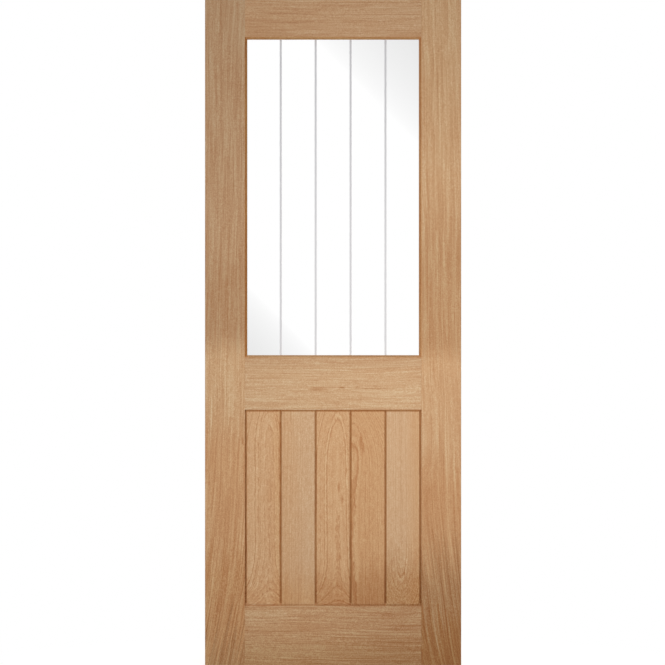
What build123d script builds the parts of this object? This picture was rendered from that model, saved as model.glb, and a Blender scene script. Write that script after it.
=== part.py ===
from build123d import *
import os

# Half-glazed oak interior door leaf: a dowelled frame of two lipped stiles and three rails, a V-jointed
# boarded panel below, and a pane with etched lines above, held by mitred beads on both faces.
# All sizes are millimetres. x runs from the hinge edge to the latch edge, y from the front face to the
# back face with 0 at mid thickness, and z up from the bottom edge.

# Leaf
DOOR_WIDTH = 762.0
DOOR_HEIGHT = 1981.0
DOOR_THICKNESS = 35.0

# Frame members
STILE_WIDTH = 118.5  # with its lipping
LIPPING_THICKNESS = 8.0
LIPPING_ROUND = 1.5  # eased arris of the two long edges
TOP_RAIL_HEIGHT = 111.0
MID_RAIL_HEIGHT = 155.5
BOTTOM_RAIL_HEIGHT = 177.5
RAIL_END_ARRIS = 0.4  # hairline V where a rail meets a stile

# Dowelled corner joints
DOWEL_DIAMETER = 14.0
DOWEL_LENGTH = 110.0
DOWEL_POINT = 1.5  # chamfer of a dowel's ends
DOWEL_GLUE_GAP = 0.1  # round the dowel
DOWEL_END_ROOM = 2.0  # past each end of the dowel
DOWEL_EDGE_DISTANCE = 36.0  # from a rail's edge to its outer dowel's axis
TOP_RAIL_DOWELS = 2
MID_RAIL_DOWELS = 3
BOTTOM_RAIL_DOWELS = 3

# Boarded panel
PANEL_HEIGHT = 583.0  # between the bottom and mid rails
PANEL_SETBACK = 1.0  # board face below frame face
BOARD_COUNT = 5
EDGE_BOARD_EXTRA = 2.5  # the two outer boards are this much wider
V_JOINT_WIDTH = 7.0
V_JOINT_DEPTH = 4.0
BORDER_BEVEL_WIDTH = 7.0  # sloping margin against the stiles
BORDER_BEVEL_DEPTH = 5.5
END_BEVEL_WIDTH = 6.0  # sloping margin against the rails
END_BEVEL_DEPTH = 3.0
TONGUE_THICKNESS = 10.0
TONGUE_LENGTH = 8.0
TONGUE_CLEARANCE = 0.15  # each side of a tongue
TONGUE_END_ROOM = 2.0  # lets the boards move with the seasons

# Glazing
GLASS_THICKNESS = 4.0
GLASS_EDGE_CLEARANCE = 2.0
TAPE_THICKNESS = 1.0
ETCH_WIDTH = 6.0
ETCH_DEPTH = 0.4
BEAD_WIDTH = 7.0  # frame edge to sight line
BEAD_FLAT = 1.0  # land along the frame
BEAD_NOSE = 3.0  # upright part at the glass
BEAD_SETBACK = 1.0  # bead below frame face

# Places that follow from the sizes above
HALF_THICKNESS = DOOR_THICKNESS / 2
OPENING_WIDTH = DOOR_WIDTH - 2 * STILE_WIDTH
OPENING_LEFT = STILE_WIDTH
OPENING_RIGHT = DOOR_WIDTH - STILE_WIDTH
PANEL_BOTTOM = BOTTOM_RAIL_HEIGHT
PANEL_TOP = PANEL_BOTTOM + PANEL_HEIGHT
GLASS_BOTTOM = PANEL_TOP + MID_RAIL_HEIGHT
GLASS_TOP = DOOR_HEIGHT - TOP_RAIL_HEIGHT
GLASS_OPENING_HEIGHT = GLASS_TOP - GLASS_BOTTOM
GROOVE_WIDTH = TONGUE_THICKNESS + 2 * TONGUE_CLEARANCE
GROOVE_DEPTH = TONGUE_LENGTH + TONGUE_END_ROOM
BOARD_PITCH = (OPENING_WIDTH - 2 * EDGE_BOARD_EXTRA) / BOARD_COUNT
V_JOINTS = [OPENING_LEFT + EDGE_BOARD_EXTRA + BOARD_PITCH * i for i in range(1, BOARD_COUNT)]
CENTRE_PLANE = Plane.YZ.offset(DOOR_WIDTH / 2)

# Each rail: its lowest point, its height, and how many dowels hold each end
RAILS = {
    "top_rail": (GLASS_TOP, TOP_RAIL_HEIGHT, TOP_RAIL_DOWELS),
    "mid_rail": (PANEL_TOP, MID_RAIL_HEIGHT, MID_RAIL_DOWELS),
    "bottom_rail": (0.0, BOTTOM_RAIL_HEIGHT, BOTTOM_RAIL_DOWELS),
}


def block(low, high):
    """A rectangular solid between two corners."""
    size = [b - a for a, b in zip(low, high)]
    return Pos(*low) * Box(*size, align=(Align.MIN, Align.MIN, Align.MIN))


def across(shape):
    """The same shape at the other side of the door."""
    return mirror(shape, about=CENTRE_PLANE)


def dowel_axes(rail):
    """Points where a rail's dowel axes cross the hinge stile's inner edge."""
    bottom, height, count = RAILS[rail]
    spacing = (height - 2 * DOWEL_EDGE_DISTANCE) / (count - 1)
    return [(OPENING_LEFT, 0.0, bottom + DOWEL_EDGE_DISTANCE + spacing * i) for i in range(count)]


def dowel_rods(rail, diameter, length, point=0.0):
    """Round rods across a rail's joint with the hinge stile, half in each."""
    rod = Rot(0, 90, 0) * Cylinder(diameter / 2, length)
    if point:
        rod = chamfer(rod.edges().filter_by(GeomType.CIRCLE), point)
    return Part() + [Pos(*axis) * rod for axis in dowel_axes(rail)]


def dowels(rail):
    return dowel_rods(rail, DOWEL_DIAMETER, DOWEL_LENGTH, DOWEL_POINT)


def dowel_holes(rail):
    return dowel_rods(rail, DOWEL_DIAMETER + 2 * DOWEL_GLUE_GAP, DOWEL_LENGTH + 2 * DOWEL_END_ROOM)


def hinge_stile():
    """Stile without its lipping, with a stopped groove for the panel and holes for every rail's dowels."""
    bar = block((LIPPING_THICKNESS, -HALF_THICKNESS, 0.0), (STILE_WIDTH, HALF_THICKNESS, DOOR_HEIGHT))
    groove = block(
        (STILE_WIDTH - GROOVE_DEPTH, -GROOVE_WIDTH / 2, PANEL_BOTTOM - GROOVE_DEPTH),
        (STILE_WIDTH, GROOVE_WIDTH / 2, PANEL_TOP + GROOVE_DEPTH),
    )
    return bar - groove - [dowel_holes(rail) for rail in RAILS]


def hinge_lipping():
    """Solid strip along the stile's outer edge, with eased arrises."""
    strip = block((0.0, -HALF_THICKNESS, 0.0), (LIPPING_THICKNESS, HALF_THICKNESS, DOOR_HEIGHT))
    outer_arrises = strip.edges().filter_by(Axis.Z).group_by(Axis.X)[0]
    return fillet(outer_arrises, LIPPING_ROUND)


def rail_bar(rail):
    """Rail between the stiles with a hairline V at its ends and holes for its dowels."""
    bottom, height, _ = RAILS[rail]
    section = chamfer(Rectangle(OPENING_WIDTH, DOOR_THICKNESS).vertices(), RAIL_END_ARRIS)
    bar = Pos(DOOR_WIDTH / 2, 0.0, bottom) * extrude(section, amount=height)
    holes = dowel_holes(rail)
    return bar - holes - across(holes)


def panel_groove(low, high):
    """Groove along a rail's edge, between two heights."""
    return block((OPENING_LEFT, -GROOVE_WIDTH / 2, low), (OPENING_RIGHT, GROOVE_WIDTH / 2, high))


def rails():
    return {
        "top_rail": rail_bar("top_rail"),
        "mid_rail": rail_bar("mid_rail") - panel_groove(PANEL_TOP, PANEL_TOP + GROOVE_DEPTH),
        "bottom_rail": rail_bar("bottom_rail") - panel_groove(PANEL_BOTTOM - GROOVE_DEPTH, PANEL_BOTTOM),
    }


def edge_outline(edge, inward, bevel_width, bevel_depth, reach, thickness):
    """Front to back outline of one board edge. Reach is a tongue's length, or minus a groove's depth."""
    face = HALF_THICKNESS - PANEL_SETBACK
    tip = edge - inward * reach
    front = [
        (edge + inward * bevel_width, -face),
        (edge, bevel_depth - face),
        (edge, -thickness / 2),
        (tip, -thickness / 2),
    ]
    return front + [(place, -y) for place, y in reversed(front)]


def stile_tongue(edge, inward):
    """Outline of an outer board's long edge, tongued into a stile."""
    return edge_outline(
        edge, inward, BORDER_BEVEL_WIDTH, BORDER_BEVEL_DEPTH, TONGUE_LENGTH, TONGUE_THICKNESS
    )


def rail_tongue(edge, inward):
    """Outline of a board's end, tongued into a rail."""
    return edge_outline(edge, inward, END_BEVEL_WIDTH, END_BEVEL_DEPTH, TONGUE_LENGTH, TONGUE_THICKNESS)


def joint_tongue(edge):
    """Outline of a board's right edge, tongued into the next board."""
    return edge_outline(edge, -1, V_JOINT_WIDTH / 2, V_JOINT_DEPTH, TONGUE_LENGTH, TONGUE_THICKNESS)


def joint_groove(edge):
    """Outline of a board's left edge, grooved for the board before it."""
    return edge_outline(edge, 1, V_JOINT_WIDTH / 2, V_JOINT_DEPTH, -GROOVE_DEPTH, GROOVE_WIDTH)


def panel_board(index):
    """One board: its cross section drawn up the door, meeting its long section drawn across it."""
    is_last = index == BOARD_COUNT - 1
    left = joint_groove(V_JOINTS[index - 1]) if index else stile_tongue(OPENING_LEFT, 1)
    right = stile_tongue(OPENING_RIGHT, -1) if is_last else joint_tongue(V_JOINTS[index])
    cross_section = make_face(Polyline(*left, *reversed(right), close=True))
    foot = Pos(0.0, 0.0, PANEL_BOTTOM - TONGUE_LENGTH)
    upright = extrude(foot * cross_section, PANEL_HEIGHT + 2 * TONGUE_LENGTH)

    ends = rail_tongue(PANEL_BOTTOM, 1) + rail_tongue(PANEL_TOP, -1)[::-1]
    long_section = make_face(Polyline(*[(0.0, y, z) for z, y in ends], close=True))
    lengthwise = extrude(long_section, DOOR_WIDTH, dir=(1, 0, 0))
    return upright & lengthwise


def glazing_plane(depth):
    """Plane facing front, centred on the glass, at a depth in front of mid thickness."""
    centre = (DOOR_WIDTH / 2, -depth, (GLASS_BOTTOM + GLASS_TOP) / 2)
    return Plane(origin=centre, x_dir=(1, 0, 0), z_dir=(0, -1, 0))


def inset_rectangle(inset):
    """The glass opening drawn in by a margin all round."""
    return Rectangle(OPENING_WIDTH - 2 * inset, GLASS_OPENING_HEIGHT - 2 * inset)


def glass_pane():
    """Pane with one shallow etched line on its front, above each V joint of the panel."""
    front = GLASS_THICKNESS / 2
    pane = extrude(glazing_plane(-front) * inset_rectangle(GLASS_EDGE_CLEARANCE), GLASS_THICKNESS)
    lines = [
        block(
            (joint - ETCH_WIDTH / 2, -front, GLASS_BOTTOM),
            (joint + ETCH_WIDTH / 2, ETCH_DEPTH - front, GLASS_TOP),
        )
        for joint in V_JOINTS
    ]
    return pane - lines


def front_tape():
    """Bedding tape between the pane and the front beads."""
    ring = inset_rectangle(GLASS_EDGE_CLEARANCE) - inset_rectangle(BEAD_WIDTH)
    return extrude(glazing_plane(GLASS_THICKNESS / 2) * ring, TAPE_THICKNESS)


def front_bead_frame():
    """The four front beads as one splayed frame, before mitring."""
    seat = GLASS_THICKNESS / 2 + TAPE_THICKNESS
    nose = seat + BEAD_NOSE
    face = HALF_THICKNESS - BEAD_SETBACK
    frame = extrude(glazing_plane(seat) * inset_rectangle(0.0), face - seat)
    upright_cut = extrude(glazing_plane(seat) * inset_rectangle(BEAD_WIDTH), BEAD_NOSE)
    sight_outline = glazing_plane(nose) * inset_rectangle(BEAD_WIDTH)
    face_outline = glazing_plane(face) * inset_rectangle(BEAD_FLAT)
    splayed_cut = loft([sight_outline, face_outline])
    return frame - upright_cut - splayed_cut


def mitred_beads():
    """The front beads, cut apart at 45 degrees in the corners."""
    outer_x = OPENING_WIDTH / 2
    outer_z = GLASS_OPENING_HEIGHT / 2
    inner_x = outer_x - BEAD_WIDTH
    inner_z = outer_z - BEAD_WIDTH
    top = [(-outer_x, outer_z), (outer_x, outer_z), (inner_x, inner_z), (-inner_x, inner_z)]
    hinge = [(-outer_x, -outer_z), (-outer_x, outer_z), (-inner_x, inner_z), (-inner_x, -inner_z)]
    outlines = {
        "top": top,
        "bottom": [(x, -z) for x, z in top],
        "hinge": hinge,
        "latch": [(-x, z) for x, z in hinge],
    }
    frame = front_bead_frame()
    wedges = {
        side: extrude(glazing_plane(0.0) * make_face(Polyline(*corners, close=True)), DOOR_THICKNESS)
        for side, corners in outlines.items()
    }
    return {side: frame & wedge for side, wedge in wedges.items()}


def door():
    """Every piece of the leaf by name."""
    pieces = {
        "hinge_stile": hinge_stile(),
        "hinge_edge_lipping": hinge_lipping(),
        "glass_pane": glass_pane(),
        "front_glazing_tape": front_tape(),
    }
    pieces["latch_stile"] = across(pieces["hinge_stile"])
    pieces["latch_edge_lipping"] = across(pieces["hinge_edge_lipping"])
    pieces["back_glazing_tape"] = mirror(pieces["front_glazing_tape"], about=Plane.XZ)
    pieces.update(rails())
    for rail in RAILS:
        pieces[f"{rail}_hinge_dowels"] = dowels(rail)
        pieces[f"{rail}_latch_dowels"] = across(dowels(rail))
    for index in range(BOARD_COUNT):
        pieces[f"panel_board_{index + 1}"] = panel_board(index)
    for side, bead in mitred_beads().items():
        pieces[f"front_bead_{side}"] = bead
        pieces[f"back_bead_{side}"] = mirror(bead, about=Plane.XZ)
    return pieces


os.makedirs("parts", exist_ok=True)
for node, piece in door().items():
    export_step(piece, f"parts/{node}.step")
    print(node, "solids", len(piece.solids()), "volume", round(piece.volume))
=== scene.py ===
"""A half-glazed oak interior door leaf, dressed and stood in a white studio.

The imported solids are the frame, the boarded panel, the pane and its beads. This script gives each of them
its finish, lays the frosted lines into the pane, and sets the floor, the lamps and the camera.
x runs from the hinge edge to the latch edge, y from the front face to the back, z up. Lengths are metres,
unless a name ends in _mm.
"""

import logging
from dataclasses import dataclass
from enum import Enum
from math import radians
from typing import ClassVar

import bpy
import numpy as np
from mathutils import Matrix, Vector


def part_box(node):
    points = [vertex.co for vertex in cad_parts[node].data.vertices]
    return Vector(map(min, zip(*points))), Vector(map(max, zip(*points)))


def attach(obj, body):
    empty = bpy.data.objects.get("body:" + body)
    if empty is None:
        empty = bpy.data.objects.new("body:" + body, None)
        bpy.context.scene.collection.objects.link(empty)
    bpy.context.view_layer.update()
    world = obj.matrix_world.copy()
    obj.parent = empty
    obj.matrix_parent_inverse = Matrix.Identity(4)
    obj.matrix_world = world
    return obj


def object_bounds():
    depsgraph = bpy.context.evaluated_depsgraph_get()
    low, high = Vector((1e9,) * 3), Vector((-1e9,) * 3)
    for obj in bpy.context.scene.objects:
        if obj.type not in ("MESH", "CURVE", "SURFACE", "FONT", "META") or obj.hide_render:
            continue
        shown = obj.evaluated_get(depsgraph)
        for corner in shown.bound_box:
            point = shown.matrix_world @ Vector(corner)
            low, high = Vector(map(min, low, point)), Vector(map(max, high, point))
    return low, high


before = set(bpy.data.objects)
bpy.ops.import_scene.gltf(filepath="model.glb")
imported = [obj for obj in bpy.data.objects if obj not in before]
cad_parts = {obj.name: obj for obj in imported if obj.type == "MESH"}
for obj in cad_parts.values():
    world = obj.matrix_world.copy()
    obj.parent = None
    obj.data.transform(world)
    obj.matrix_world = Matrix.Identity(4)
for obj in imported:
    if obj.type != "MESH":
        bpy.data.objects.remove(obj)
CAD_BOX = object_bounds()

LOG = logging.getLogger("door")
MM = 0.001
BODY = "root"

WOOD_IOR = 1.5
GLASS_IOR = 1.52
# How many finer layers a fine noise has, each twice as fine as the one before
FINE_LAYERS = 2.0
# A ray's depth is a whole number, so one below this has met no matt surface
NO_BOUNCE = 0.5

Colour = tuple[float, float, float, float]
Point = tuple[float, float, float]
Span = tuple[float, float]
Material = bpy.types.Material
Piece = bpy.types.Object
Socket = bpy.types.NodeSocket
Tree = bpy.types.NodeTree


def linear(hex_colour: str) -> Colour:
    """Turns an sRGB hex colour into linear light, by the sRGB curve: straight near black, a power above.

    Args:
        hex_colour: six hex digits after a hash sign.
    Returns:
        Linear red, green and blue, with an alpha of 1.
    """
    srgb = np.array([int(hex_colour[i : i + 2], 16) for i in (1, 3, 5)]) / 255
    light = np.where(srgb <= 0.04045, srgb / 12.92, ((srgb + 0.055) / 1.055) ** 2.4)
    return (*light.tolist(), 1.0)


def add_node(
    tree: Tree,
    kind: str,
    inputs: dict[int | str, object] | None = None,
    out: int | str = 0,
    stops: dict[float, str] | None = None,
    **settings: object,
) -> Socket | None:
    """Adds one shader node with its settings and links.

    Args:
        tree: the node tree that gets the node.
        kind: the node's type, without the leading ShaderNode.
        inputs: for each input, by name or number, its value or the socket that feeds it.
        out: the output to hand back, by name or number.
        stops: for a colour ramp, its hex colours by position.
        settings: the node's own properties.
    Returns:
        The chosen output socket, or None for a node without outputs.
    """
    node = tree.nodes.new("ShaderNode" + kind)
    for key, value in settings.items():
        setattr(node, key, value)
    for key, value in (inputs or {}).items():
        if isinstance(value, Socket):
            tree.links.new(value, node.inputs[key])
        else:
            node.inputs[key].default_value = value
    for index, (place, colour) in enumerate((stops or {}).items()):
        marks = node.color_ramp.elements
        mark = marks[index] if index < len(marks) else marks.new(place)
        mark.position, mark.color = place, linear(colour)
    return node.outputs[out] if len(node.outputs) else None


def blank_material(name: str) -> tuple[Material, Tree, Socket]:
    """Makes a material whose node tree has only the place on the door, which its patterns are drawn by.

    Args:
        name: what the material is, and how its surface was made.
    Returns:
        The material, its node tree and the place on the door.
    """
    material = bpy.data.materials.new(name)
    material.use_nodes = True
    tree = material.node_tree
    tree.nodes.clear()
    return material, tree, add_node(tree, "TexCoord", out="Object")


def seen_rays(tree: Tree) -> Socket:
    """Tells what the camera sees, straight or in glass, from what only lights the door.

    Args:
        tree: the node tree that gets the test.
    Returns:
        1 for a camera, glossy or transmission ray that no matt surface has scattered, 0 for the rest.
    """
    seen = 0.0
    for kind in ("Is Camera Ray", "Is Glossy Ray", "Is Transmission Ray"):
        ray = add_node(tree, "LightPath", out=kind)
        seen = add_node(tree, "Math", {0: ray, 1: seen}, operation="MAXIMUM")
    scattered = add_node(tree, "LightPath", out="Diffuse Depth")
    straight = add_node(tree, "Math", {0: scattered, 1: NO_BOUNCE}, operation="LESS_THAN")
    return add_node(tree, "Math", {0: seen, 1: straight}, operation="MULTIPLY")


def dressed_node(node: str, material: Material) -> Piece:
    """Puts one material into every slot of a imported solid.

    Args:
        node: the solid's name.
        material: its finish.
    Returns:
        The solid.
    """
    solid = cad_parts[node]
    for slot in solid.material_slots:
        slot.material = material
    return solid


def new_piece(name: str, points: np.ndarray, faces: list[list[int]], material: Material) -> Piece:
    """Makes a mesh object in one finish and links it to the scene.

    Args:
        name: the object's name.
        points: its vertices, as an array of n by 3.
        faces: the vertices of each face, counter-clockwise seen from outside.
        material: its finish.
    Returns:
        The object.
    """
    mesh = bpy.data.meshes.new(name)
    mesh.from_pydata(points, [], faces)
    mesh.validate()
    mesh.materials.append(material)
    piece = bpy.data.objects.new(name, mesh)
    bpy.context.scene.collection.objects.link(piece)
    return piece


class Side(Enum):
    """A long side of the leaf."""

    HINGE = "hinge"
    LATCH = "latch"


class Level(Enum):
    """The height of a rail or of a level bead."""

    TOP = "top"
    MID = "mid"
    BOTTOM = "bottom"


class Face(Enum):
    """A face of the leaf."""

    FRONT = "front"
    BACK = "back"


class GrainRun(Enum):
    """The way that the grain runs on the door, as the turn in degrees from the z axis towards x."""

    UP = 0.0
    ACROSS = 90.0


class LogEnd(Enum):
    """One end of a piece, as the way to it along the grain."""

    HEAD = 1.0
    FOOT = -1.0


@dataclass(frozen=True)
class OakShade:
    """The colours of sanded, unfinished oak, from the pores to the palest late wood."""

    pore: str = "#7A4522"
    early: str = "#B27947"
    body: str = "#D4AC85"
    late: str = "#E6CEAA"
    pale: str = "#F4E5CC"

    def stops(self) -> dict[float, str]:
        """Returns the colours by their place on the tone scale."""
        return {0.0: self.pore, 0.3: self.early, 0.5: self.body, 0.62: self.late, 0.8: self.pale}


@dataclass(frozen=True)
class PinKnot:
    """A small dark mark: its place on the door's face, its length along the grain and its strength."""

    x_mm: float
    z_mm: float
    length_mm: float
    drop: float = 0.12


@dataclass(frozen=True)
class StainAndShade:
    """A slow change along or across the grain: from one place on the door to another, a wash darkens the
    wood, partly as the wood's own change of tone and partly as painted shade, where the light falls off.

    It may fade again, between two places further on. Its edges are ragged, as it runs further along some
    streaks than along others.
    """

    from_mm: float
    to_mm: float
    colour: str
    fades_mm: Span | None = None
    ragged_mm: float = 100.0
    across: bool = False

    def places(self) -> list[Span]:
        """Lists the stretches over which it sinks in and, turned about, over which it fades."""
        stretches = [(self.from_mm, self.to_mm)]
        return stretches + [self.fades_mm[::-1]] if self.fades_mm else stretches


@dataclass(frozen=True)
class GrooveShade:
    """Painted shade on the flanks of a groove, below the face: the height from which it starts, and its
    colour.
    """

    from_mm: float
    colour: str


@dataclass(frozen=True)
class Curve:
    """How a log changes past one height, by the cube of the way past it, in metres.

    The heart line moves aside and away behind the face, and the rings swell, as they do above the roots,
    or draw in where swell is negative.
    """

    from_mm: float
    end: LogEnd
    aside: float = 0.0
    away: float = 0.0
    swell: float = 0.0


@dataclass(frozen=True)
class Oak:
    """One length of sanded oak, as it was sawn from its log.

    The figure is that of a real log. A ring is the set of points at one distance from the heart line, which
    leans and bends a little, so a face sawn beside the heart shows straight stripes and a face sawn over it
    shows pointed arches. Sanding leaves open pores, which read as short dark dashes, and a soft matt sheen.
    Real pores and rings are 0.3 to 2 mm wide, so they are drawn about three times as coarse, to show.

    Attributes:
        name: the piece that it is for.
        run: the way of its grain on the door.
        heart_mm: a point of the log's heart line.
        lean_deg: how far the heart line leans sideways from the run.
        curves: where the log bends or swells.
        wander_mm: how far the fibres wander aside.
        contrast: how far its tones lie from their middle.
        foot_gain: how much further they lie at the foot, as a share.
        ring_mm: the width of a year's ring.
        ring_share: the rings' share in the tone.
        line_share: the share of the dark line where a ring starts.
        streak_mm: the width and the length of a streak.
        streak_share: the share of the streaks.
        dash_share: the share of the pores' dark dashes.
        broad_share: the share of the broad streaks.
        speck_share: the share of the small specks.
        seed: its place in the noise, so that no two lengths are alike.
        tint: a thin wash over all of it: the piece's own tone, and on the beads painted shade as well.
        stains_and_shade: washes over a part of it, partly the wood's own tone and partly painted shade.
        joints: painted shade on the flanks of its grooves.
        knots: its small dark marks.
    """

    name: str
    run: GrainRun
    heart_mm: Point
    lean_deg: float = 0.0
    curves: tuple[Curve, ...] = ()
    wander_mm: float = 10.0
    contrast: float = 1.0
    foot_gain: float = 0.0
    ring_mm: float = 3.4
    ring_share: float = 0.14
    line_share: float = 0.04
    streak_mm: Span = (3.4, 200.0)
    streak_share: float = 0.30
    dash_share: float = 0.14
    broad_share: float = 0.20
    speck_share: float = 0.36
    seed: float = 0.0
    tint: str = "#FFFFFF"
    stains_and_shade: tuple[StainAndShade, ...] = ()
    joints: tuple[GrooveShade, ...] = ()
    knots: tuple[PinKnot, ...] = ()

    # The colours, and the tone of the body colour, about which the other tones lie
    shade: ClassVar[OakShade] = OakShade()
    middle: ClassVar[float] = 0.5
    # The width and the length of each kind of mark
    wander_grain_mm: ClassVar[Span] = (90.0, 330.0)
    broad_mm: ClassVar[Span] = (8.0, 260.0)
    dash_mm: ClassVar[Span] = (3.0, 18.0)
    speck_mm: ClassVar[Span] = (2.9, 3.4)
    # How far the dashes fray a ring, how rough the rings are, and where in a ring its dark line lies
    fray_mm: ClassVar[float] = 4.5
    ring_rough: ClassVar[float] = 0.6
    line_span: ClassVar[Span] = (0.52, 0.72)
    # The stretch over which the grain grows bolder towards the foot
    slant_mm: ClassVar[Span] = (450.0, 100.0)
    # How many times as long as wide a knot is, and how far it reaches past its own size
    knot_slimness: ClassVar[float] = 4.0
    knot_reach: ClassVar[float] = 1.3
    # How far from the leaf's middle a groove's flank starts, and the depth over which its painted shade sets
    # in
    face_mm: ClassVar[float] = 16.4
    groove_shade_mm: ClassVar[float] = 0.3
    # The roughness of the darkest and of the palest tone, the sheen, and the relief of the open pores
    matt_span: ClassVar[Span] = (0.75, 0.5)
    sheen: ClassVar[float] = 0.2
    relief: ClassVar[float] = 0.15
    relief_mm: ClassVar[float] = 0.4

    def log_place(self, tree: Tree, point: Socket) -> Socket:
        """Turns a place on the door into a place in the log, with z along the heart line.

        Args:
            tree: the material's node tree.
            point: the place on the door.
        Returns:
            The place in the log, moved aside by a slow wander of the fibres.
        """
        turn = (0.0, radians(self.run.value + self.lean_deg), 0.0)
        heart = [mm * MM for mm in self.heart_mm]
        place = add_node(
            tree, "Mapping", {"Vector": point, "Location": heart, "Rotation": turn}, vector_type="TEXTURE"
        )
        for curve in self.curves:
            place = self.curved(tree, point, place, curve)
        wander = self.fibre_noise(tree, place, self.wander_grain_mm, out="Color")
        reach = self.wander_mm * MM * 2
        shift = add_node(
            tree,
            "VectorMath",
            {0: wander, 1: (reach, reach, 0.0), 2: (-reach / 2, -reach / 2, 0.0)},
            operation="MULTIPLY_ADD",
        )
        return add_node(tree, "VectorMath", {0: place, 1: shift}, operation="ADD")

    def along(self, tree: Tree, point: Socket, across: bool = False) -> Socket:
        """Gives the place along the grain, z on an upright piece and x on a level one, or across it."""
        upright = (self.run is GrainRun.UP) is not across
        return add_node(tree, "SeparateXYZ", {0: point}, out="Z" if upright else "X")

    def curved(self, tree: Tree, point: Socket, place: Socket, curve: Curve) -> Socket:
        """Moves the heart line and swells the rings past one height.

        Args:
            tree: the material's node tree.
            point: the place on the door.
            place: the place in the straight log.
            curve: how the log changes.
        Returns:
            The place in the curved log.
        """
        way, start = curve.end.value, curve.from_mm * MM
        past = add_node(
            tree, "Math", {0: self.along(tree, point), 1: way, 2: -start * way}, operation="MULTIPLY_ADD"
        )
        forward = add_node(tree, "Math", {0: past, 1: 0.0}, operation="MAXIMUM")
        cubed = add_node(tree, "Math", {0: forward, 1: 3.0}, operation="POWER")
        shift = add_node(
            tree, "VectorMath", {0: (-curve.aside, -curve.away, 0.0), "Scale": cubed}, operation="SCALE"
        )
        moved = add_node(tree, "VectorMath", {0: place, 1: shift}, operation="ADD")
        shrink = add_node(tree, "Math", {0: cubed, 1: -curve.swell, 2: 1.0}, operation="MULTIPLY_ADD")
        scale = add_node(tree, "CombineXYZ", {0: shrink, 1: shrink, 2: 1.0})
        return add_node(tree, "VectorMath", {0: moved, 1: scale}, operation="MULTIPLY")

    def fibre_noise(
        self, tree: Tree, place: Socket, grain_mm: Span, detail: float = 1.0, out: str = "Fac"
    ) -> Socket:
        """Draws noise that is stretched along the grain.

        Args:
            tree: the material's node tree.
            place: the place in the log.
            grain_mm: the width and the length of one mark.
            detail: how many finer layers it has.
            out: Fac for one value, Color for three.
        Returns:
            Noise about 0.5.
        """
        width, length = (1 / (mm * MM) for mm in grain_mm)
        stretched = add_node(
            tree,
            "VectorMath",
            {0: place, 1: (width, width, length), 2: (self.seed,) * 3},
            operation="MULTIPLY_ADD",
        )
        return add_node(tree, "TexNoise", {"Vector": stretched, "Scale": 1.0, "Detail": detail}, out=out)

    def tone_of(self, tree: Tree, point: Socket, place: Socket, broad: Socket) -> Socket:
        """Adds up rings, streaks, pores and small marks to one tone from 0, dark, to 1, pale.

        Args:
            tree: the material's node tree.
            point: the place on the door.
            place: the place in the log.
            broad: the broad streaks.
        Returns:
            The tone.
        """
        flat = add_node(tree, "VectorMath", {0: place, 1: (1.0, 1.0, 0.0)}, operation="MULTIPLY")
        distance = add_node(tree, "VectorMath", {0: flat}, out="Value", operation="LENGTH")
        dash = self.fibre_noise(tree, place, self.dash_mm)
        radius = add_node(
            tree, "Math", {0: dash, 1: self.fray_mm * MM, 2: distance}, operation="MULTIPLY_ADD"
        )
        years = add_node(
            tree, "Math", {0: radius, 1: 1 / (self.ring_mm * MM), 2: self.seed}, operation="MULTIPLY_ADD"
        )
        ring = add_node(
            tree,
            "TexNoise",
            {"W": years, "Scale": 1.0, "Detail": FINE_LAYERS, "Roughness": self.ring_rough},
            noise_dimensions="1D",
        )
        start, end = self.line_span
        line = add_node(
            tree,
            "MapRange",
            {"Value": ring, "From Min": start, "From Max": end, "To Min": 1.0, "To Max": 0.0},
            interpolation_type="SMOOTHSTEP",
        )
        layers = [
            (ring, -self.ring_share),
            (line, self.line_share),
            (self.fibre_noise(tree, place, self.streak_mm, FINE_LAYERS), self.streak_share),
            (dash, self.dash_share),
            (self.fibre_noise(tree, place, self.speck_mm), self.speck_share),
            (broad, self.broad_share),
        ]
        tone = self.middle - self.contrast * sum(share for _, share in layers) / 2
        for layer, share in layers:
            tone = add_node(
                tree, "Math", {0: layer, 1: share * self.contrast, 2: tone}, operation="MULTIPLY_ADD"
            )
        tone = self.bolder(tree, point, tone)
        for knot in self.knots:
            tone = self.darkened_by(tree, point, tone, knot)
        return tone

    def bolder(self, tree: Tree, point: Socket, tone: Socket) -> Socket:
        """Draws the tone out from its middle towards the foot, where the bent fibres are cut at a slant.

        Args:
            tree: the material's node tree.
            point: the place on the door.
            tone: the tone as it is in the straight wood.
        Returns:
            The tone with the foot's bolder grain.
        """
        start, end = self.slant_mm
        gain = add_node(
            tree,
            "MapRange",
            {
                "Value": self.along(tree, point),
                "From Min": start * MM,
                "From Max": end * MM,
                "To Min": 1.0,
                "To Max": 1 + self.foot_gain,
            },
            interpolation_type="SMOOTHSTEP",
        )
        from_middle = add_node(tree, "Math", {0: tone, 1: self.middle}, operation="SUBTRACT")
        return add_node(tree, "Math", {0: from_middle, 1: gain, 2: self.middle}, operation="MULTIPLY_ADD")

    def darkened_by(self, tree: Tree, point: Socket, tone: Socket, knot: PinKnot) -> Socket:
        """Lowers the tone over the slim ellipse of a small mark, most at its middle.

        Args:
            tree: the material's node tree.
            point: the place on the door.
            tone: the tone without the mark.
            knot: the mark.
        Returns:
            The tone with the mark.
        """
        along = 2 / (knot.length_mm * MM)
        across = along * self.knot_slimness
        scale = (along, 0.0, across) if self.run is GrainRun.ACROSS else (across, 0.0, along)
        middle = (-knot.x_mm * MM * scale[0], 0.0, -knot.z_mm * MM * scale[2])
        offset = add_node(tree, "VectorMath", {0: point, 1: scale, 2: middle}, operation="MULTIPLY_ADD")
        reach = add_node(tree, "VectorMath", {0: offset}, out="Value", operation="LENGTH")
        drop = add_node(
            tree,
            "MapRange",
            {"Value": reach, "From Max": self.knot_reach, "To Min": -knot.drop, "To Max": 0.0},
            interpolation_type="SMOOTHSTEP",
        )
        return add_node(tree, "Math", {0: tone, 1: drop}, operation="ADD")

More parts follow.
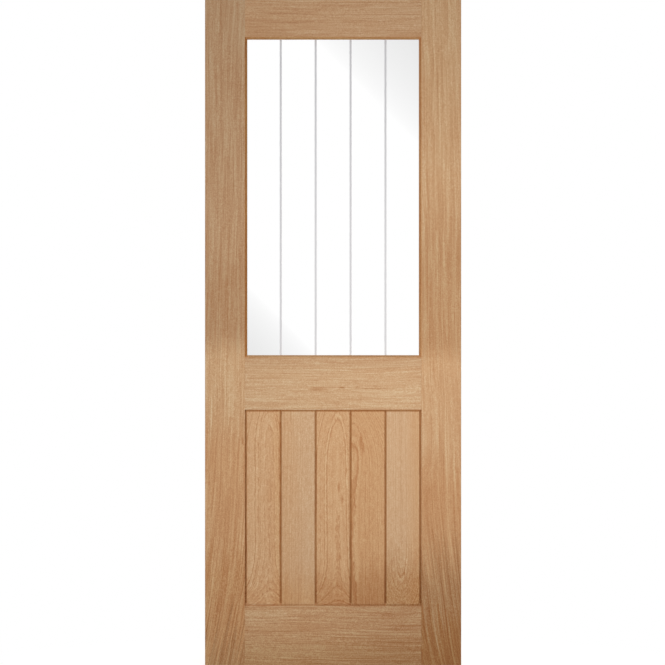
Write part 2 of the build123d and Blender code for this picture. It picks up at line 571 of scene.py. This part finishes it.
    def stain_and_shade_washes(self, tree: Tree, point: Socket, broad: Socket) -> list[tuple[Socket, str]]:
        """Works out where the washes of tone and painted shade lie, along or across the grain, frayed by the
        streaks.

        Args:
            tree: the material's node tree.
            point: the place on the door.
            broad: the broad streaks.
        Returns:
            Each wash's cover, from 0 to 1, and its colour.
        """
        washes = []
        for stain in self.stains_and_shade:
            place = self.along(tree, point, stain.across)
            ragged = stain.ragged_mm * MM
            level = add_node(tree, "Math", {0: broad, 1: ragged, 2: place}, operation="MULTIPLY_ADD")
            cover = 1.0
            for start, end in stain.places():
                rise = add_node(
                    tree,
                    "MapRange",
                    {"Value": level, "From Min": start * MM + ragged / 2, "From Max": end * MM + ragged / 2},
                    interpolation_type="SMOOTHSTEP",
                )
                cover = add_node(tree, "Math", {0: rise, 1: cover}, operation="MULTIPLY")
            washes.append((cover, stain.colour))
        return washes

    def groove_shade_washes(self, tree: Tree, point: Socket) -> list[tuple[Socket, str]]:
        """Finds the flanks below the face, and paints shade on them.

        Args:
            tree: the material's node tree.
            point: the place on the door.
        Returns:
            Each painted shade's cover, from 0 to 1, and its colour.
        """
        washes = []
        for joint in self.joints:
            y = add_node(tree, "SeparateXYZ", {0: point}, out="Y")
            from_middle = add_node(tree, "Math", {0: y}, operation="ABSOLUTE")
            start, end = self.face_mm * MM, (self.face_mm - self.groove_shade_mm) * MM
            deep = add_node(tree, "MapRange", {"Value": from_middle, "From Min": start, "From Max": end})
            above = add_node(
                tree, "Math", {0: self.along(tree, point), 1: joint.from_mm * MM}, operation="GREATER_THAN"
            )
            cover = add_node(tree, "Math", {0: deep, 1: above}, operation="MULTIPLY")
            washes.append((cover, joint.colour))
        return washes

    def material(self) -> Material:
        """Builds the material: colour, sheen and a fine relief all follow the tone.

        The tint and the washes of tone and of painted shade are thin washes over the wood, each of which
        darkens it by multiplying.

        Returns:
            The material.
        """
        material, tree, point = blank_material(f"oak_sanded_{self.name}")
        place = self.log_place(tree, point)
        broad = self.fibre_noise(tree, place, self.broad_mm)
        tone = self.tone_of(tree, point, place, broad)
        colour = add_node(tree, "ValToRGB", {"Fac": tone}, stops=self.shade.stops())
        tint = [(1.0, self.tint)]
        washes = tint + self.stain_and_shade_washes(tree, point, broad) + self.groove_shade_washes(tree, point)
        for cover, wash in washes:
            # A Mix of colours takes them at inputs 6 and 7, and gives its own at output 2
            colour = add_node(
                tree,
                "Mix",
                {0: cover, 6: colour, 7: linear(wash)},
                out=2,
                data_type="RGBA",
                blend_type="MULTIPLY",
            )
        darkest, palest = self.matt_span
        matt = add_node(tree, "MapRange", {"Value": tone, "To Min": darkest, "To Max": palest})
        pores = add_node(
            tree, "Bump", {"Height": tone, "Strength": self.relief, "Distance": self.relief_mm * MM}
        )
        surface = add_node(
            tree,
            "BsdfPrincipled",
            {
                "Base Color": colour,
                "Roughness": matt,
                "Normal": pores,
                "IOR": WOOD_IOR,
                "Specular IOR Level": self.sheen,
            },
        )
        add_node(tree, "OutputMaterial", {"Surface": surface})
        return material


@dataclass(frozen=True)
class BoardOak(Oak):
    """The oak of the boards: short streaks and many pores, with painted shade in the grooves.

    Painted shade darkens the grooves between the boards and, most, the ledge at their heads, but not the
    bevels at their feet.
    """

    streak_mm: Span = (3.6, 50.0)
    streak_share: float = 0.14
    dash_share: float = 0.20
    broad_share: float = 0.06
    speck_share: float = 0.34
    # Painted shade in the grooves above the bevels at the boards' feet, and more on the ledge at their heads
    joints: tuple[GrooveShade, ...] = (GrooveShade(186.0, "#DFCEB9"), GrooveShade(754.0, "#F4EDE4"))


@dataclass(frozen=True)
class CrownOak(BoardOak):
    """The oak of a board that was sawn just in front of the heart: bold rings, which show as arches."""

    wander_mm: float = 7.0
    contrast: float = 0.60
    ring_mm: float = 2.8
    ring_share: float = 0.34
    line_share: float = 0.09


@dataclass(frozen=True)
class TurnedBeech:
    """Dowel beech, turned: an even pinkish tan with short, fine brown flecks along the rod."""

    base: str = "#C9A27C"
    fleck: str = "#A67B55"
    fleck_mm: Span = (0.8, 6.0)
    fleck_span: Span = (0.35, 0.5)
    roughness: float = 0.55

    def material(self) -> Material:
        """Builds the material, with the flecks drawn out along x, the way that the rods lie.

        Returns:
            The material.
        """
        material, tree, point = blank_material("beech_turned")
        width, length = (1 / (mm * MM) for mm in self.fleck_mm)
        stretched = add_node(
            tree, "VectorMath", {0: point, 1: (length, width, width)}, operation="MULTIPLY"
        )
        noise = add_node(tree, "TexNoise", {"Vector": stretched, "Scale": 1.0, "Detail": FINE_LAYERS})
        colours = dict(zip(self.fleck_span, (self.fleck, self.base)))
        colour = add_node(tree, "ValToRGB", {"Fac": noise}, stops=colours)
        surface = add_node(
            tree, "BsdfPrincipled", {"Base Color": colour, "Roughness": self.roughness, "IOR": WOOD_IOR}
        )
        add_node(tree, "OutputMaterial", {"Surface": surface})
        return material


@dataclass(frozen=True)
class FoamTape:
    """Closed-cell glazing tape: matt off-white foam with fine cells at its cut edge."""

    base: str = "#E2DFD9"
    cell: str = "#C9C5BD"
    cell_mm: float = 0.6
    cell_span: Span = (0.1, 0.6)
    dent: float = 0.3
    dent_mm: float = 0.1
    roughness: float = 0.85

    def material(self) -> Material:
        """Builds the material, with a cell pattern that also dents the surface.

        Returns:
            The material.
        """
        material, tree, point = blank_material("foam_tape_cut")
        cells = add_node(
            tree, "TexVoronoi", {"Vector": point, "Scale": 1 / (self.cell_mm * MM)}, out="Distance"
        )
        colours = dict(zip(self.cell_span, (self.cell, self.base)))
        colour = add_node(tree, "ValToRGB", {"Fac": cells}, stops=colours)
        dents = add_node(
            tree, "Bump", {"Height": cells, "Strength": self.dent, "Distance": self.dent_mm * MM}
        )
        surface = add_node(
            tree, "BsdfPrincipled", {"Base Color": colour, "Roughness": self.roughness, "Normal": dents}
        )
        add_node(tree, "OutputMaterial", {"Surface": surface})
        return material


@dataclass(frozen=True)
class FloatGlass:
    """Clear float glass: smooth and colourless, with the slightest roll wave in what it mirrors."""

    tint: str = "#FFFFFF"
    roll_mm: float = 180.0
    wave: float = 0.02
    wave_mm: float = 0.2

    def material(self) -> Material:
        """Builds the material. Lamps shine straight through it, so that the pane casts no dark shadow.

        Returns:
            The material.
        """
        material, tree, point = blank_material("glass_float_clear")
        roll = add_node(tree, "TexNoise", {"Vector": point, "Scale": 1 / (self.roll_mm * MM)})
        waves = add_node(
            tree, "Bump", {"Height": roll, "Strength": self.wave, "Distance": self.wave_mm * MM}
        )
        glass = add_node(
            tree,
            "BsdfPrincipled",
            {
                "Base Color": linear(self.tint),
                "Roughness": 0.0,
                "IOR": GLASS_IOR,
                "Transmission Weight": 1.0,
                "Normal": waves,
            },
        )
        clear = add_node(tree, "BsdfTransparent")
        shadow = add_node(tree, "LightPath", out="Is Shadow Ray")
        surface = add_node(tree, "MixShader", {0: shadow, 1: glass, 2: clear})
        add_node(tree, "OutputMaterial", {"Surface": surface})
        return material


@dataclass(frozen=True)
class FrostedGlass:
    """Glass blasted with fine grit: it scatters light, so it reads as a pale grey line, faintly grainy."""

    base: str = "#E3E4E8"
    grit: str = "#D9DADE"
    grit_mm: float = 0.9
    grit_span: Span = (0.35, 0.65)
    pit: float = 0.4
    pit_mm: float = 0.05
    roughness: float = 0.7

    def material(self) -> Material:
        """Builds the material. Real grit marks are under 0.1 mm, so they are drawn ten times as coarse.

        Returns:
            The material.
        """
        material, tree, point = blank_material("glass_grit_blasted")
        grit = add_node(
            tree, "TexNoise", {"Vector": point, "Scale": 1 / (self.grit_mm * MM), "Detail": FINE_LAYERS}
        )
        colours = dict(zip(self.grit_span, (self.grit, self.base)))
        colour = add_node(tree, "ValToRGB", {"Fac": grit}, stops=colours)
        pits = add_node(
            tree, "Bump", {"Height": grit, "Strength": self.pit, "Distance": self.pit_mm * MM}
        )
        surface = add_node(
            tree,
            "BsdfPrincipled",
            {"Base Color": colour, "Roughness": self.roughness, "IOR": GLASS_IOR, "Normal": pits},
        )
        add_node(tree, "OutputMaterial", {"Surface": surface})
        return material


@dataclass(frozen=True)
class FloorPaint:
    """Matt white floor paint: it keeps the door's shadow, and fades into the background further out.

    Attributes:
        base: its colour as the camera sees it.
        bounce: its colour for the light that it throws back at the door.
        lift: what it glows by itself near the door.
        fade: from where to where it turns into the background, from the middle of the door's foot.
    """

    base: str = "#F2F2F2"
    bounce: str = "#B4B4B4"
    lift: float = 0.50
    fade: Span = (0.45, 1.1)

    def material(self) -> Material:
        """Builds the material: white for the rays that are seen, and a plain matt grey for the rest.

        Returns:
            The material.
        """
        material, tree, point = blank_material("floor_matt_white")
        low, high = CAD_BOX
        middle = ((low.x + high.x) / 2, 0.0, low.z)
        from_middle = add_node(tree, "VectorMath", {0: point, 1: middle}, operation="SUBTRACT")
        reach = add_node(tree, "VectorMath", {0: from_middle}, out="Value", operation="LENGTH")
        start, end = self.fade
        fade = add_node(
            tree,
            "MapRange",
            {"Value": reach, "From Min": start, "From Max": end},
            interpolation_type="SMOOTHSTEP",
        )
        bounce = add_node(tree, "BsdfDiffuse", {"Color": linear(self.bounce)})
        matt = add_node(tree, "BsdfDiffuse", {"Color": linear(self.base)})
        lift = add_node(tree, "Emission", {"Strength": self.lift})
        near = add_node(tree, "AddShader", {0: matt, 1: lift})
        far = add_node(tree, "Emission", {"Strength": 1.0})
        white = add_node(tree, "MixShader", {0: fade, 1: near, 2: far})
        surface = add_node(tree, "MixShader", {0: seen_rays(tree), 1: bounce, 2: white})
        add_node(tree, "OutputMaterial", {"Surface": surface})
        return material


@dataclass
class DoorFrame:
    """The dowelled frame: two stiles with their lippings, three rails and the hidden dowels.

    Attributes:
        middle_mm: the middle of the leaf's width.
        bend_mm: the height below which the stiles' logs bend.
    """

    middle_mm: float = 381.0
    bend_mm: float = 900.0

    def stile_oak(self) -> dict[Side, Oak]:
        """Gives each stile's oak: rift sawn, the heart off to the side, so straight stripes up the door.

        Both logs bend outwards towards their feet. The stains_and_shade are the stiles' slow changes of
        colour, partly the wood's own and partly painted shade where the light falls off, greyer up beside
        the glass.

        Returns:
            The oak of each stile.
        """
        hinge = Oak(
            "hinge_stile",
            GrainRun.UP,
            heart_mm=(420.0, 160.0, self.bend_mm),
            lean_deg=1.2,
            curves=(Curve(self.bend_mm, LogEnd.FOOT, aside=-0.085),),
            contrast=0.72,
            foot_gain=0.30,
            broad_share=0.30,
            seed=3.0,
            tint="#FBF7F0",
            # Partly the wood's own tone and partly painted shade: greyer beside the glass, and darker
            # towards the foot
            stains_and_shade=(
                StainAndShade(905.0, 1005.0, "#ECE8E8"),
                StainAndShade(905.0, 1005.0, "#F4EFE9", fades_mm=(1120.0, 1300.0)),
                StainAndShade(800.0, 600.0, "#FBEEE3"),
                StainAndShade(400.0, 290.0, "#F5EDE3", ragged_mm=300.0),
                StainAndShade(130.0, 30.0, "#F2F6F9", ragged_mm=500.0),
            ),
            knots=(PinKnot(112.0, 668.0, length_mm=30.0, drop=0.14),),
        )
        latch = Oak(
            "latch_stile",
            GrainRun.UP,
            heart_mm=(340.0, 160.0, self.bend_mm),
            lean_deg=-1.0,
            curves=(Curve(self.bend_mm, LogEnd.FOOT, aside=0.085),),
            contrast=0.60,
            foot_gain=0.65,
            broad_share=0.28,
            seed=11.0,
            tint="#FEF9F1",
            # Partly the wood's own tone and partly painted shade: greyer beside the glass, and darker
            # towards the foot
            stains_and_shade=(
                StainAndShade(870.0, 970.0, "#E6DDD4", fades_mm=(1150.0, 1480.0)),
                StainAndShade(900.0, 840.0, "#F9F7F6"),
                StainAndShade(690.0, 500.0, "#F8EDE3"),
                StainAndShade(430.0, 210.0, "#DEDAD4", ragged_mm=300.0),
                StainAndShade(200.0, 60.0, "#F3E5CE", ragged_mm=500.0),
            ),
        )
        return {Side.HINGE: hinge, Side.LATCH: latch}

    def rail_oak(self) -> dict[Level, Oak]:
        """Gives each rail's oak: rift sawn, with straight stripes across the door and a few dark marks.

        Returns:
            The oak of each rail.
        """
        top = Oak(
            "top_rail",
            GrainRun.ACROSS,
            heart_mm=(self.middle_mm, 120.0, 2160.0),
            lean_deg=0.4,
            contrast=0.70,
            seed=21.0,
            tint="#F9F1EB",
            # Painted shade: darker towards the hinge end, where the light falls off
            stains_and_shade=(StainAndShade(420.0, 150.0, "#F7F3EF"),),
            knots=(PinKnot(358.0, 1930.0, length_mm=12.0),),
        )
        mid = Oak(
            "mid_rail",
            GrainRun.ACROSS,
            heart_mm=(self.middle_mm, 160.0, 1100.0),
            lean_deg=-0.6,
            wander_mm=14.0,
            contrast=0.68,
            seed=31.0,
            tint="#FAF8F4",
            # Painted shade along the rail's top edge, under the bottom bead
            stains_and_shade=(StainAndShade(865.0, 905.0, "#F8F6F5", ragged_mm=30.0, across=True),),
            knots=(
                PinKnot(338.0, 822.0, length_mm=60.0),
                PinKnot(408.0, 826.0, length_mm=24.0),
                PinKnot(452.0, 829.0, length_mm=20.0, drop=0.10),
            ),
        )
        bottom = Oak(
            "bottom_rail",
            GrainRun.ACROSS,
            heart_mm=(self.middle_mm, 140.0, 330.0),
            lean_deg=0.8,
            contrast=0.96,
            seed=41.0,
            tint="#F4EADF",
            stains_and_shade=(
                # Partly the wood's own tone and partly painted shade: darker towards the latch end and
                # towards the foot
                StainAndShade(220.0, 660.0, "#E8E0D9"),
                StainAndShade(120.0, 20.0, "#F3F0E7", ragged_mm=40.0, across=True),
            ),
        )
        return {Level.TOP: top, Level.MID: mid, Level.BOTTOM: bottom}

    def build(self) -> list[Piece]:
        """Gives every member its own oak. A lipping is ripped from its stile, so it shares that oak.

        Returns:
            The members.
        """
        pieces = []
        for side, oak in self.stile_oak().items():
            material = oak.material()
            pieces.append(dressed_node(f"{side.value}_stile", material))
            pieces.append(dressed_node(f"{side.value}_edge_lipping", material))
        beech = TurnedBeech().material()
        for level, oak in self.rail_oak().items():
            pieces.append(dressed_node(f"{level.value}_rail", oak.material()))
            pieces += [dressed_node(f"{level.value}_rail_{side.value}_dowels", beech) for side in Side]
        return pieces


@dataclass
class BoardedPanel:
    """The five tongued boards below the mid rail.

    Attributes:
        middle_mm: the middle of the panel's height.
    """

    middle_mm: float = 469.0

    def oak(self) -> list[Oak]:
        """Gives each board's oak.

        The heart lies close behind boards 1, 3 and 4, so they show arches, and far to the side of board 2.
        Board 5 holds the heart, which draws away behind the face at its foot and so opens a fan there.

        Returns:
            The oak of boards 1 to 5.
        """
        return [
            CrownOak(
                "board_1",
                GrainRun.UP,
                heart_mm=(195.0, 20.0, self.middle_mm),
                curves=(Curve(420.0, LogEnd.FOOT, swell=45.0), Curve(600.0, LogEnd.HEAD, swell=-70.0)),
                foot_gain=0.3,
                seed=51.0,
                tint="#FEF4EA",
                stains_and_shade=(
                    StainAndShade(300.0, 190.0, "#F9F0E7"),
                    StainAndShade(185.0, 220.0, "#FCF6EE", ragged_mm=30.0, across=True),
                ),
            ),
            BoardOak(
                "board_2",
                GrainRun.UP,
                heart_mm=(600.0, 90.0, 400.0),
                lean_deg=0.6,
                contrast=0.57,
                seed=61.0,
                stains_and_shade=(
                    StainAndShade(320.0, 190.0, "#F8EDDE"),
                    StainAndShade(310.0, 240.0, "#FDF7F0", ragged_mm=30.0, across=True),
                ),
            ),
            CrownOak(
                "board_3",
                GrainRun.UP,
                heart_mm=(392.0, 24.0, self.middle_mm),
                curves=(Curve(330.0, LogEnd.FOOT, swell=160.0), Curve(560.0, LogEnd.HEAD, swell=-50.0)),
                seed=71.0,
                tint="#FCF0E3",
                stains_and_shade=(StainAndShade(330.0, 190.0, "#ECDED0"),),
                knots=(
                    PinKnot(398.0, 530.0, length_mm=34.0, drop=0.15),
                    PinKnot(408.0, 493.0, length_mm=30.0),
                    PinKnot(402.0, 322.0, length_mm=24.0, drop=0.15),
                ),
            ),
            CrownOak(
                "board_4",
                GrainRun.UP,
                heart_mm=(436.0, 28.0, self.middle_mm),
                curves=(Curve(560.0, LogEnd.HEAD, swell=-90.0),),
                seed=81.0,
                tint="#F7E7D5",
                stains_and_shade=(StainAndShade(350.0, 190.0, "#E5D7C9"),),
                knots=(
                    PinKnot(464.0, 668.0, length_mm=50.0),
                    PinKnot(470.0, 645.0, length_mm=36.0, drop=0.13),
                    PinKnot(510.0, 268.0, length_mm=24.0, drop=0.08),
                ),
            ),
            BoardOak(
                "board_5",
                GrainRun.UP,
                heart_mm=(583.0, -10.0, self.middle_mm),
                curves=(Curve(430.0, LogEnd.FOOT, away=2.6),),
                wander_mm=5.0,
                contrast=0.40,
                foot_gain=2.0,
                ring_mm=2.6,
                ring_share=0.36,
                seed=91.0,
                stains_and_shade=(
                    StainAndShade(400.0, 200.0, "#E2CFB8"),
                    StainAndShade(590.0, 630.0, "#FCF4EA", ragged_mm=30.0, across=True),
                ),
            ),
        ]

    def build(self) -> list[Piece]:
        """Gives every board its own oak."""
        oaks = enumerate(self.oak(), start=1)
        return [dressed_node(f"panel_board_{number}", oak.material()) for number, oak in oaks]


@dataclass
class Glazing:
    """The pane with its frosted lines, the bedding tapes and the beads of both faces.

    Attributes:
        middle_x_mm: the middle of the pane's width.
        middle_z_mm: about the middle of its height.
        heart_depth_mm: how far behind the leaf's middle the hearts of the beads' logs lie.
        lines: how many frosted lines the pane has.
        etch_width_mm: the width of a line's channel.
        etch_depth_mm: the depth of the channel.
        etch_room_mm: the room between a line and its channel.
        etch_dish_mm: how deep the front of a line is dished.
        profile_points: how many points the front of a line has across.
    """

    middle_x_mm: float = 381.0
    middle_z_mm: float = 1390.0
    heart_depth_mm: float = 300.0
    lines: int = 4
    etch_width_mm: float = 6.0
    etch_depth_mm: float = 0.4
    etch_room_mm: float = 0.02
    etch_dish_mm: float = 0.12
    profile_points: int = 9

    def bead_oak(self) -> dict[Level | Side, Oak]:
        """Gives the oak of the beads, straight grained along each bead, as the heart lies far behind them.

        Returns:
            The oak of the bead at each edge of the pane, with a tint of painted shade.
        """
        x, deep, z = self.middle_x_mm, self.heart_depth_mm, self.middle_z_mm
        # Each bead's tint is partly its own darker, warmer oak and partly painted shade by the way it faces:
        # darkest on the hinge bead, which faces away from the key lamp
        top = Oak("bead_top", GrainRun.ACROSS, (x, deep, 2300.0), tint="#F6DEBF", seed=101.0)
        bottom = Oak("bead_bottom", GrainRun.ACROSS, (x, deep, 1300.0), tint="#F4E3CE", seed=111.0)
        hinge = Oak(
            "bead_hinge",
            GrainRun.UP,
            (500.0, deep, z),
            tint="#E7C391",
            seed=121.0,
            stains_and_shade=(StainAndShade(1420.0, 1180.0, "#F4EDE4"),),
        )
        latch = Oak("bead_latch", GrainRun.UP, (300.0, deep, z), tint="#ECCDAC", seed=131.0)
        return {Level.TOP: top, Level.BOTTOM: bottom, Side.HINGE: hinge, Side.LATCH: latch}

    def line_profile(self) -> np.ndarray:
        """Gives the outline of a frosted line, which fills its channel.

        The front is a shallow dish: its depth is the dish's depth times one less the square of the place
        across the line, from -1 to 1. The back is flat, on the channel's floor.

        Returns:
            The outline's points in x and y, around the channel's floor, counter-clockwise seen from above.
        """
        across = np.linspace(-1.0, 1.0, self.profile_points)
        half = self.etch_width_mm / 2 - self.etch_room_mm
        depth = self.etch_depth_mm - self.etch_room_mm
        front = np.column_stack([across * half, -depth + self.etch_dish_mm * (1 - across**2)])
        back = np.column_stack([across[::-1] * half, np.full(self.profile_points, -self.etch_room_mm)])
        return np.concatenate([front, back]) * MM

    def carried_profile(self, name: str, path: np.ndarray, material: Material) -> Piece:
        """Carries a line's outline along a straight upright path and caps both ends.

        Vertex (i, j) is point i of the path plus point j of the outline, laid level in x and y.

        Args:
            name: the new piece's name.
            path: the path's points from the bottom up, as an array of m by 3.
            material: the piece's finish.
        Returns:
            The new piece.
        """
        profile = self.line_profile()
        rows, columns = len(path), len(profile)
        level = np.pad(profile, ((0, 0), (0, 1)))
        points = (path[:, None, :] + level[None, :, :]).reshape(-1, 3)
        here = np.arange(rows * columns).reshape(rows, columns)
        beside = np.roll(here, -1, axis=1)
        sides = np.stack([here[:-1], beside[:-1], beside[1:], here[1:]], axis=-1).reshape(-1, 4)
        caps = [here[0, ::-1].tolist(), here[-1].tolist()]
        return new_piece(name, points, sides.tolist() + caps, material)

    def add_lines(self) -> list[Piece]:
        """Lays one frosted line into each channel of the pane, above each joint of the boards below.

        Returns:
            The lines, from the hinge side to the latch side.
        """
        low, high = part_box("glass_pane")
        frosted = FrostedGlass().material()
        floor_of_channel = low.y + self.etch_depth_mm * MM
        pieces = []
        for number in range(1, self.lines + 1):
            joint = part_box(f"panel_board_{number + 1}")[0].x
            path = np.array([(joint, floor_of_channel, low.z), (joint, floor_of_channel, high.z)])
            line = self.carried_profile(f"frosted_line_{number}", path, frosted)
            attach(line, BODY)
            pieces.append(line)
        return pieces

    def build(self) -> list[Piece]:
        """Gives pane, tapes and beads their finishes, and adds the lines.

        The front and the back bead at one edge of the pane share one oak.

        Returns:
            The pieces of the glazing.
        """
        pieces = [dressed_node("glass_pane", FloatGlass().material())]
        tape = FoamTape().material()
        pieces += [dressed_node(f"{face.value}_glazing_tape", tape) for face in Face]
        for edge, oak in self.bead_oak().items():
            material = oak.material()
            pieces += [dressed_node(f"{face.value}_bead_{edge.value}", material) for face in Face]
        return pieces + self.add_lines()


@dataclass(frozen=True)
class SoftBox:
    """One square studio lamp: where it stands, the point it faces, its side, its power and its colour."""

    name: str
    place: Point
    aim: Point
    side: float
    watts: float
    colour: str = "#FFFFFF"

    def add(self, lit: bpy.types.Collection) -> None:
        """Hangs the lamp, unseen by the camera, straight or through glass.

        Args:
            lit: the list of what the lamp lights, and what it leaves out.
        """
        lamp = bpy.data.lights.new(self.name, "AREA")
        lamp.shape, lamp.size, lamp.energy = "SQUARE", self.side, self.watts
        lamp.color = linear(self.colour)[:3]
        box = bpy.data.objects.new(self.name, lamp)
        away = Vector(self.place) - Vector(self.aim)
        box.location, box.rotation_euler = self.place, away.to_track_quat("Z", "Y").to_euler()
        box.visible_camera = box.visible_transmission = False
        box.light_linking.receiver_collection = lit
        bpy.context.scene.collection.objects.link(box)


@dataclass(frozen=True)
class Backdrop:
    """The white all round the door, and a faint grey seen only through the glass: a painted reflection on
    the pane.

    Attributes:
        ambient: how strongly it lights the door.
        white: what the camera sees of it.
        painted_reflection: how much of the white the painted reflection takes at its greyest.
        painted_reflection_power: how steeply the painted reflection sets in.
        upper: from where to where it greys towards the upper right, as rise plus run to the right.
        lower: the same towards the lower left.
        cone: how straight back a ray points, up to 1, where the haze starts and where it is full.
    """

    ambient: float = 0.42
    white: Colour = (1.0, 1.0, 1.0, 1.0)
    painted_reflection: float = 0.21
    painted_reflection_power: float = 0.65
    upper: Span = (0.0744, 0.1023)
    lower: Span = (-0.0103, -0.0292)
    cone: Span = (0.990, 0.995)

    def in_glass(self, tree: Tree) -> Socket:
        """Gives the white that shows through glass, greyed as a painted reflection towards the upper right
        and lower left.

        The grey follows the sum of the ray's rise and its run to the right, so its edges slant at 45
        degrees. It lies straight behind the door, within a narrow cone.

        Args:
            tree: the world's node tree.
        Returns:
            The strength for a transmission ray, 1 for the others.
        """
        way = add_node(tree, "TexCoord", out="Generated")
        right = add_node(tree, "SeparateXYZ", {0: way}, out="X")
        rise = add_node(tree, "SeparateXYZ", {0: way}, out="Z")
        slant = add_node(tree, "Math", {0: right, 1: rise}, operation="ADD")
        grey = 0.0
        for start, end in (self.upper, self.lower):
            corner = add_node(tree, "MapRange", {"Value": slant, "From Min": start, "From Max": end})
            grey = add_node(tree, "Math", {0: corner, 1: grey}, operation="MAXIMUM")
        steep = add_node(tree, "Math", {0: grey, 1: self.painted_reflection_power}, operation="POWER")
        depth = add_node(tree, "SeparateXYZ", {0: way}, out="Y")
        wide, narrow = self.cone
        behind = add_node(tree, "MapRange", {"Value": depth, "From Min": wide, "From Max": narrow})
        through = add_node(tree, "LightPath", out="Is Transmission Ray")
        near = add_node(tree, "Math", {0: steep, 1: behind}, operation="MULTIPLY")
        taken = add_node(tree, "Math", {0: near, 1: through}, operation="MULTIPLY")
        return add_node(tree, "Math", {0: taken, 1: -self.painted_reflection, 2: 1.0}, operation="MULTIPLY_ADD")

    def add(self) -> None:
        """Lights the scene softly from all round, and shows white where the camera looks past the door."""
        world = bpy.data.worlds.new("white_studio")
        bpy.context.scene.world = world
        world.use_nodes = True
        tree = world.node_tree
        tree.nodes.clear()
        # A Mix of numbers takes them at inputs 2 and 3
        strength = add_node(tree, "Mix", {0: seen_rays(tree), 2: self.ambient, 3: self.in_glass(tree)})
        glow = add_node(tree, "Background", {"Color": self.white, "Strength": strength})
        add_node(tree, "OutputWorld", {"Surface": glow})


@dataclass
class Studio:
    """The white studio: a backdrop, a pale floor that keeps the door's shadow, soft lamps and a long lens.

    Attributes:
        lens_mm: the camera's focal length.
        sensor_mm: the width of its picture inside.
        overfill: how much taller the leaf is than the picture.
        aside_mm: how far the camera stands to the hinge side.
        sight: how far the camera sees.
        floor_reach: half the side of the floor.
        lamps: the soft boxes.
    """

    lens_mm: float = 200.0
    sensor_mm: float = 36.0
    overfill: float = 1.0015
    aside_mm: float = 1.8
    sight: float = 200.0
    floor_reach: float = 6.0
    lamps: tuple[SoftBox, ...] = (
        SoftBox("front", (0.74, -1.3, 0.93), aim=(0.74, 0.0, 0.93), side=0.8, watts=8.2, colour="#FFF9F1"),
        SoftBox("key", (-1.6, -2.6, 1.7), aim=(0.38, 0.0, 1.0), side=1.0, watts=21.0),
        SoftBox("back", (1.5, 3.3, 1.3), aim=(0.38, 0.0, 1.0), side=1.4, watts=52.0),
    )

    def add_floor(self) -> None:
        """Lays a square floor under the door, centred on it."""
        low, high = CAD_BOX
        middle = (low + high) / 2
        corners = np.array([(-1, -1, 0), (1, -1, 0), (1, 1, 0), (-1, 1, 0)]) * self.floor_reach
        points = corners + np.array([middle.x, middle.y, low.z])
        floor = new_piece("floor", points, [[0, 1, 2, 3]], FloorPaint().material())

    def lit(self) -> bpy.types.Collection:
        """Leaves the pane out of the lamps' light, as it would mirror the front lamp beside the lines.

        Returns:
            The list of what the lamps light, which leaves out the pane.
        """
        lit = bpy.data.collections.new("lit_by_lamps")
        lit.objects.link(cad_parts["glass_pane"])
        lit.collection_objects[0].light_linking.link_state = "EXCLUDE"
        return lit

    def add_camera(self) -> None:
        """Stands a long lens square to the front face, so near that the leaf just overfills the height.

        It stands a little to the hinge side, by a little over half a pixel of the picture.
        """
        low, high = CAD_BOX
        middle = (low + high) / 2
        lens = bpy.data.cameras.new("front_view")
        lens.lens, lens.sensor_width, lens.clip_end = self.lens_mm, self.sensor_mm, self.sight
        camera = bpy.data.objects.new("front_view", lens)
        distance = (high.z - low.z) * self.lens_mm / self.sensor_mm / self.overfill
        camera.location = (middle.x - self.aside_mm * MM, low.y - distance, middle.z)
        camera.rotation_euler = (radians(90), 0.0, 0.0)
        bpy.context.scene.collection.objects.link(camera)
        bpy.context.scene.camera = camera

    def build(self) -> None:
        """Sets up backdrop, floor, lamps and camera."""
        bpy.context.scene.view_settings.view_transform = "Standard"
        Backdrop().add()
        self.add_floor()
        lit = self.lit()
        for lamp in self.lamps:
            lamp.add(lit)
        self.add_camera()


def main() -> None:
    """Builds the door's sub-assemblies in order, then the studio."""
    logging.basicConfig(level=logging.INFO, format="%(name)s: %(message)s")
    for assembly in (DoorFrame(), BoardedPanel(), Glazing()):
        for piece in assembly.build():
            LOG.info("%s in %s", piece.name, piece.material_slots[0].material.name)
    Studio().build()


if __name__ == "__main__":
    main()
